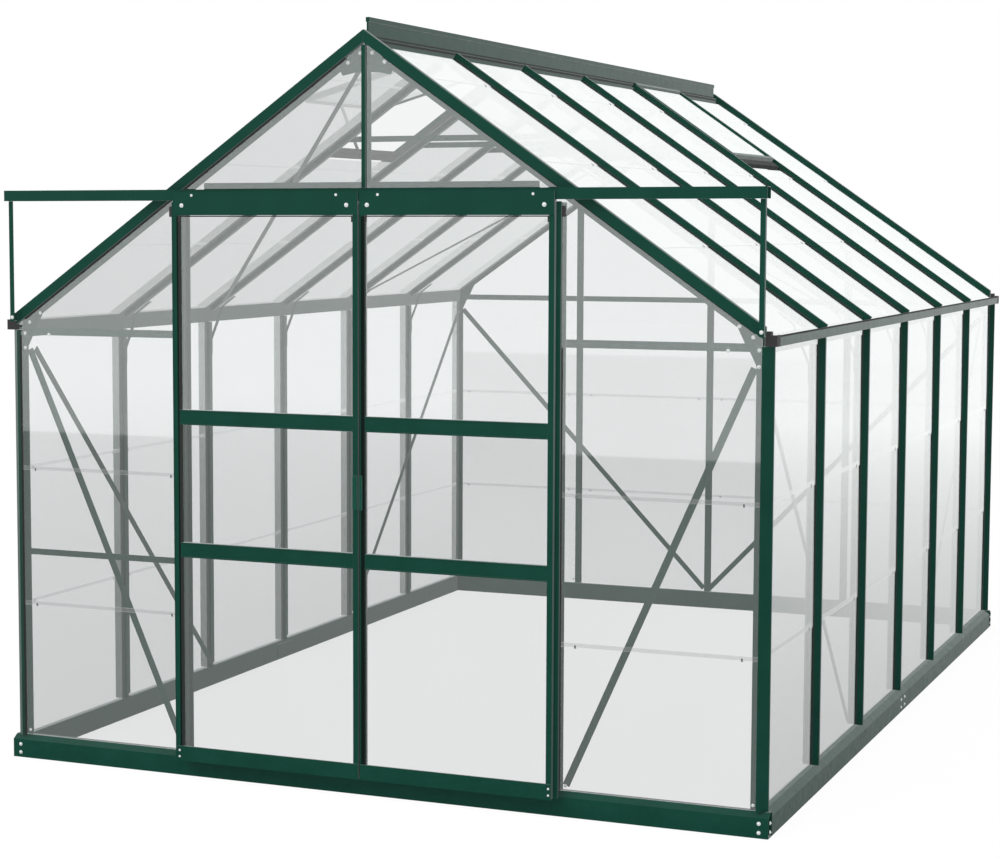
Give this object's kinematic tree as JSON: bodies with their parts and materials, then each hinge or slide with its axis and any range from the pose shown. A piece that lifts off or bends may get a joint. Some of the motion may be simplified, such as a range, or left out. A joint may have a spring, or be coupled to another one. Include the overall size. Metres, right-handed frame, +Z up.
{
  "type": "glass greenhouse",
  "caption": "Apex-roof aluminium greenhouse glazed in overlapped panes, with two sliding doors on a gable track and a vent on each roof slope.",
  "frame": {"origin": "on the ground at the middle of the base ring", "axes": "+Z up, +X to the right seen from in front of the doors, +Y from the door gable toward the rear gable"},
  "size_m": [2.578, 3.8815, 2.396],
  "materials": {
    "green_frame": "satin powder coat",
    "glass": "clear float glass",
    "black_plastic": "moulded"
  },
  "bodies": {
    "house": {"base_front": "green_frame", "base_rear": "green_frame", "base_left": "green_frame", "base_right": "green_frame", "corner_posts": "green_frame", "side_bars": "green_frame", "eaves_left": "green_frame", "eaves_right": "green_frame", "gutter_left": "green_frame", "gutter_right": "green_frame", "gutter_caps": "black_plastic", "ridge": "green_frame", "gable_bars_front": "green_frame", "gable_bars_rear": "green_frame", "door_posts": "green_frame", "front_header": "green_frame", "gable_centre_bar": "green_frame", "front_rails": "green_frame", "rear_bars": "green_frame", "rear_eaves_rail": "green_frame", "door_track": "green_frame", "track_posts": "green_frame", "roof_bars_left": "green_frame", "roof_bars_right": "green_frame", "collar_ties": "green_frame", "knee_braces": "green_frame", "wall_braces": "green_frame", "roof_braces": "green_frame", "gussets": "green_frame", "glass_left": "glass", "glass_right": "glass", "glass_front": "glass", "glass_rear": "glass", "roof_glass_left": "glass", "roof_glass_right": "glass", "vent_left_sash": "green_frame", "vent_left_glass": "glass", "vent_right_sash": "green_frame", "vent_right_glass": "glass", "vent_sills": "green_frame", "vent_stay": "green_frame"},
    "left_door": {"door_left_frame": "green_frame", "door_left_glass": "glass", "door_left_hangers": "black_plastic", "door_left_handle": "green_frame"},
    "right_door": {"door_right_frame": "green_frame", "door_right_glass": "glass", "door_right_hangers": "black_plastic", "door_right_handle": "green_frame"}
  },
  "joints": [
    {"name": "left_door_slide", "type": "slide", "parent": "house", "child": "left_door", "axis": [-1, 0, 0], "range_m": [0, 0.575]},
    {"name": "right_door_slide", "type": "slide", "parent": "house", "child": "right_door", "axis": [1, 0, 0], "range_m": [0, 0.575]}
  ]
}
